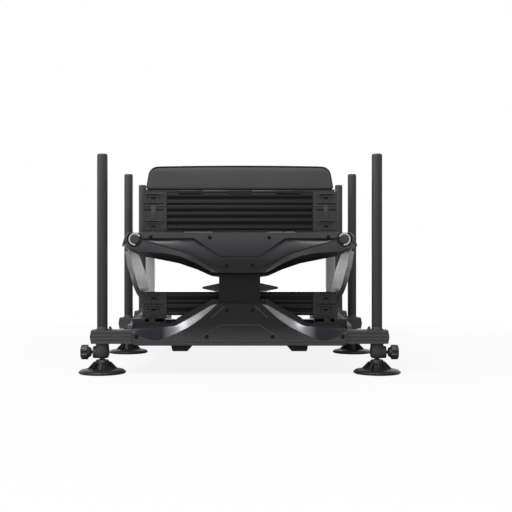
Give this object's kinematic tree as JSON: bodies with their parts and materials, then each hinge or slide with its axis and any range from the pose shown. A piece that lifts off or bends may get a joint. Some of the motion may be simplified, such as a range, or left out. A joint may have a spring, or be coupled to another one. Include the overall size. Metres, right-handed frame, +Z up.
{
  "type": "fishing seat box",
  "caption": "Fishing seat box with six telescopic legs, swivel feet, an X-shaped frame, drawers, a padded hinged seat and a sliding footplate.",
  "frame": {"origin": "on the ground, midway between the six feet", "axes": "+Z up, +Y towards the footplate (front), +X to the sitter's right"},
  "size_m": [0.766, 0.923, 0.522],
  "materials": {
    "moulding": "fine satin texture",
    "foot_plastic": "satin",
    "knob_plastic": "satin",
    "leg_tube": "black anodised, satin",
    "dark_extrusion": "black anodised, ribbed",
    "frame_casting": "graphite painted casting, satin",
    "bright_plate": "brushed",
    "pad_rubber": "matt",
    "dark_steel": "black oxide",
    "deck_plate": "dark anodised",
    "case_wall": "satin with ridges",
    "drawer_plastic": "satin",
    "gloss_cover": "smooth gloss",
    "seat_cover": "soft grained vinyl"
  },
  "bodies": {
    "chassis": {"box_leg_clamps": "moulding", "rear_leg_bar": "dark_extrusion", "front_leg_arms": "dark_extrusion", "rear_upper_beam": "frame_casting", "rear_lower_beam": "frame_casting", "rear_column": "frame_casting", "front_upper_beam": "frame_casting", "front_lower_beam": "frame_casting", "upper_side_rails": "dark_extrusion", "lower_side_rails": "dark_extrusion", "side_plate_left": "bright_plate", "side_plate_right": "bright_plate", "corner_posts": "bright_plate", "corner_trims": "bright_plate", "frame_pads": "pad_rubber", "frame_screws": "dark_steel", "lower_corner_blocks": "moulding", "lower_case": "case_wall", "lower_cover": "gloss_cover"},
    "upper_stack": {"upper_corner_blocks": "moulding", "drawer_case": "case_wall", "upper_tray": "case_wall", "lid_hinge_pin": "dark_steel"},
    "footplate_slide": {"footplate": "deck_plate", "footplate_rails": "dark_extrusion", "footplate_leg_arms": "dark_extrusion", "footplate_leg_clamps": "moulding"},
    "seat": {"seat_lid": "moulding", "seat_cushion": "seat_cover"},
    "deep_drawer": {"deep_drawer": "drawer_plastic"},
    "lower_drawer_bottom": {"lower_drawer_bottom": "drawer_plastic"},
    "lower_drawer_top": {"lower_drawer_top": "drawer_plastic"},
    "upper_base_catches": {"upper_base_catches": "moulding"},
    "tray_catches": {"tray_catches": "moulding"},
    "lower_base_catches": {"lower_base_catches": "moulding"},
    "lower_seam_catches": {"lower_seam_catches": "moulding"},
    "leg_rear_left": {"leg_rear_left": "leg_tube"},
    "ball_stud_rear_left": {"ball_stud_rear_left": "moulding"},
    "foot_rear_left": {"foot_rear_left": "foot_plastic"},
    "knob_rear_left": {"knob_rear_left": "knob_plastic"},
    "leg_rear_right": {"leg_rear_right": "leg_tube"},
    "ball_stud_rear_right": {"ball_stud_rear_right": "moulding"},
    "foot_rear_right": {"foot_rear_right": "foot_plastic"},
    "knob_rear_right": {"knob_rear_right": "knob_plastic"},
    "leg_front_left": {"leg_front_left": "leg_tube"},
    "ball_stud_front_left": {"ball_stud_front_left": "moulding"},
    "foot_front_left": {"foot_front_left": "foot_plastic"},
    "knob_front_left": {"knob_front_left": "knob_plastic"},
    "leg_front_right": {"leg_front_right": "leg_tube"},
    "ball_stud_front_right": {"ball_stud_front_right": "moulding"},
    "foot_front_right": {"foot_front_right": "foot_plastic"},
    "knob_front_right": {"knob_front_right": "knob_plastic"},
    "leg_plate_left": {"leg_plate_left": "leg_tube"},
    "ball_stud_plate_left": {"ball_stud_plate_left": "moulding"},
    "foot_plate_left": {"foot_plate_left": "foot_plastic"},
    "knob_plate_left": {"knob_plate_left": "knob_plastic"},
    "leg_plate_right": {"leg_plate_right": "leg_tube"},
    "ball_stud_plate_right": {"ball_stud_plate_right": "moulding"},
    "foot_plate_right": {"foot_plate_right": "foot_plastic"},
    "knob_plate_right": {"knob_plate_right": "knob_plastic"}
  },
  "joints": [
    {"name": "footplate_slides_in", "type": "slide", "parent": "chassis", "child": "footplate_slide", "axis": [0, 1, 0], "range_m": [-0.22, 0]},
    {"name": "upper_stack_lifts_off", "type": "slide", "parent": "chassis", "child": "upper_stack", "axis": [0, 0, 1], "range_m": [0, 0.12]},
    {"name": "seat_lid_opens", "type": "hinge", "parent": "upper_stack", "child": "seat", "pos_m": [0, -0.3538, 0.437], "axis": [1, 0, 0], "range_deg": [0, 95]},
    {"name": "deep_drawer_opens", "type": "slide", "parent": "upper_stack", "child": "deep_drawer", "axis": [0, 1, 0], "range_m": [0, 0.26]},
    {"name": "lower_drawer_bottom_opens", "type": "slide", "parent": "chassis", "child": "lower_drawer_bottom", "axis": [0, 1, 0], "range_m": [0, 0.26]},
    {"name": "lower_drawer_top_opens", "type": "slide", "parent": "chassis", "child": "lower_drawer_top", "axis": [0, 1, 0], "range_m": [0, 0.26]},
    {"name": "upper_base_catches_lift", "type": "slide", "parent": "upper_stack", "child": "upper_base_catches", "axis": [0, 0, 1], "range_m": [0, 0.008]},
    {"name": "tray_catches_lift", "type": "slide", "parent": "upper_stack", "child": "tray_catches", "axis": [0, 0, 1], "range_m": [0, 0.008]},
    {"name": "lower_base_catches_lift", "type": "slide", "parent": "chassis", "child": "lower_base_catches", "axis": [0, 0, 1], "range_m": [0, 0.008]},
    {"name": "lower_seam_catches_lift", "type": "slide", "parent": "chassis", "child": "lower_seam_catches", "axis": [0, 0, 1], "range_m": [0, 0.008]},
    {"name": "leg_slides_rear_left", "type": "slide", "parent": "chassis", "child": "leg_rear_left", "axis": [0, 0, 1], "range_m": [-0.35, 0]},
    {"name": "foot_swivels_rear_left", "type": "hinge", "parent": "leg_rear_left", "child": "ball_stud_rear_left", "pos_m": [-0.327, -0.4055, 0.038], "axis": [0, 0, 1], "continuous": true},
    {"name": "foot_tilts_rear_left", "type": "hinge", "parent": "ball_stud_rear_left", "child": "foot_rear_left", "pos_m": [-0.327, -0.4055, 0.02], "axis": [1, 0, 0], "range_deg": [-15, 15]},
    {"name": "knob_turns_rear_left", "type": "hinge", "parent": "chassis", "child": "knob_rear_left", "pos_m": [-0.367, -0.4055, 0.05], "axis": [-1, 0, 0], "range_deg": [0, 540]},
    {"name": "leg_slides_rear_right", "type": "slide", "parent": "chassis", "child": "leg_rear_right", "axis": [0, 0, 1], "range_m": [-0.35, 0]},
    {"name": "foot_swivels_rear_right", "type": "hinge", "parent": "leg_rear_right", "child": "ball_stud_rear_right", "pos_m": [0.327, -0.4055, 0.038], "axis": [0, 0, 1], "continuous": true},
    {"name": "foot_tilts_rear_right", "type": "hinge", "parent": "ball_stud_rear_right", "child": "foot_rear_right", "pos_m": [0.327, -0.4055, 0.02], "axis": [1, 0, 0], "range_deg": [-15, 15]},
    {"name": "knob_turns_rear_right", "type": "hinge", "parent": "chassis", "child": "knob_rear_right", "pos_m": [0.367, -0.4055, 0.05], "axis": [1, 0, 0], "range_deg": [0, 540]},
    {"name": "leg_slides_front_left", "type": "slide", "parent": "chassis", "child": "leg_front_left", "axis": [0, 0, 1], "range_m": [-0.35, 0]},
    {"name": "foot_swivels_front_left", "type": "hinge", "parent": "leg_front_left", "child": "ball_stud_front_left", "pos_m": [-0.327, 0.0585, 0.038], "axis": [0, 0, 1], "continuous": true},
    {"name": "foot_tilts_front_left", "type": "hinge", "parent": "ball_stud_front_left", "child": "foot_front_left", "pos_m": [-0.327, 0.0585, 0.02], "axis": [1, 0, 0], "range_deg": [-15, 15]},
    {"name": "knob_turns_front_left", "type": "hinge", "parent": "chassis", "child": "knob_front_left", "pos_m": [-0.367, 0.0585, 0.05], "axis": [-1, 0, 0], "range_deg": [0, 540]},
    {"name": "leg_slides_front_right", "type": "slide", "parent": "chassis", "child": "leg_front_right", "axis": [0, 0, 1], "range_m": [-0.35, 0]},
    {"name": "foot_swivels_front_right", "type": "hinge", "parent": "leg_front_right", "child": "ball_stud_front_right", "pos_m": [0.327, 0.0585, 0.038], "axis": [0, 0, 1], "continuous": true},
    {"name": "foot_tilts_front_right", "type": "hinge", "parent": "ball_stud_front_right", "child": "foot_front_right", "pos_m": [0.327, 0.0585, 0.02], "axis": [1, 0, 0], "range_deg": [-15, 15]},
    {"name": "knob_turns_front_right", "type": "hinge", "parent": "chassis", "child": "knob_front_right", "pos_m": [0.367, 0.0585, 0.05], "axis": [1, 0, 0], "range_deg": [0, 540]},
    {"name": "leg_slides_plate_left", "type": "slide", "parent": "footplate_slide", "child": "leg_plate_left", "axis": [0, 0, 1], "range_m": [-0.35, 0]},
    {"name": "foot_swivels_plate_left", "type": "hinge", "parent": "leg_plate_left", "child": "ball_stud_plate_left", "pos_m": [-0.327, 0.4055, 0.038], "axis": [0, 0, 1], "continuous": true},
    {"name": "foot_tilts_plate_left", "type": "hinge", "parent": "ball_stud_plate_left", "child": "foot_plate_left", "pos_m": [-0.327, 0.4055, 0.02], "axis": [1, 0, 0], "range_deg": [-15, 15]},
    {"name": "knob_turns_plate_left", "type": "hinge", "parent": "footplate_slide", "child": "knob_plate_left", "pos_m": [-0.367, 0.4055, 0.05], "axis": [-1, 0, 0], "range_deg": [0, 540]},
    {"name": "leg_slides_plate_right", "type": "slide", "parent": "footplate_slide", "child": "leg_plate_right", "axis": [0, 0, 1], "range_m": [-0.35, 0]},
    {"name": "foot_swivels_plate_right", "type": "hinge", "parent": "leg_plate_right", "child": "ball_stud_plate_right", "pos_m": [0.327, 0.4055, 0.038], "axis": [0, 0, 1], "continuous": true},
    {"name": "foot_tilts_plate_right", "type": "hinge", "parent": "ball_stud_plate_right", "child": "foot_plate_right", "pos_m": [0.327, 0.4055, 0.02], "axis": [1, 0, 0], "range_deg": [-15, 15]},
    {"name": "knob_turns_plate_right", "type": "hinge", "parent": "footplate_slide", "child": "knob_plate_right", "pos_m": [0.367, 0.4055, 0.05], "axis": [1, 0, 0], "range_deg": [0, 540]}
  ]
}
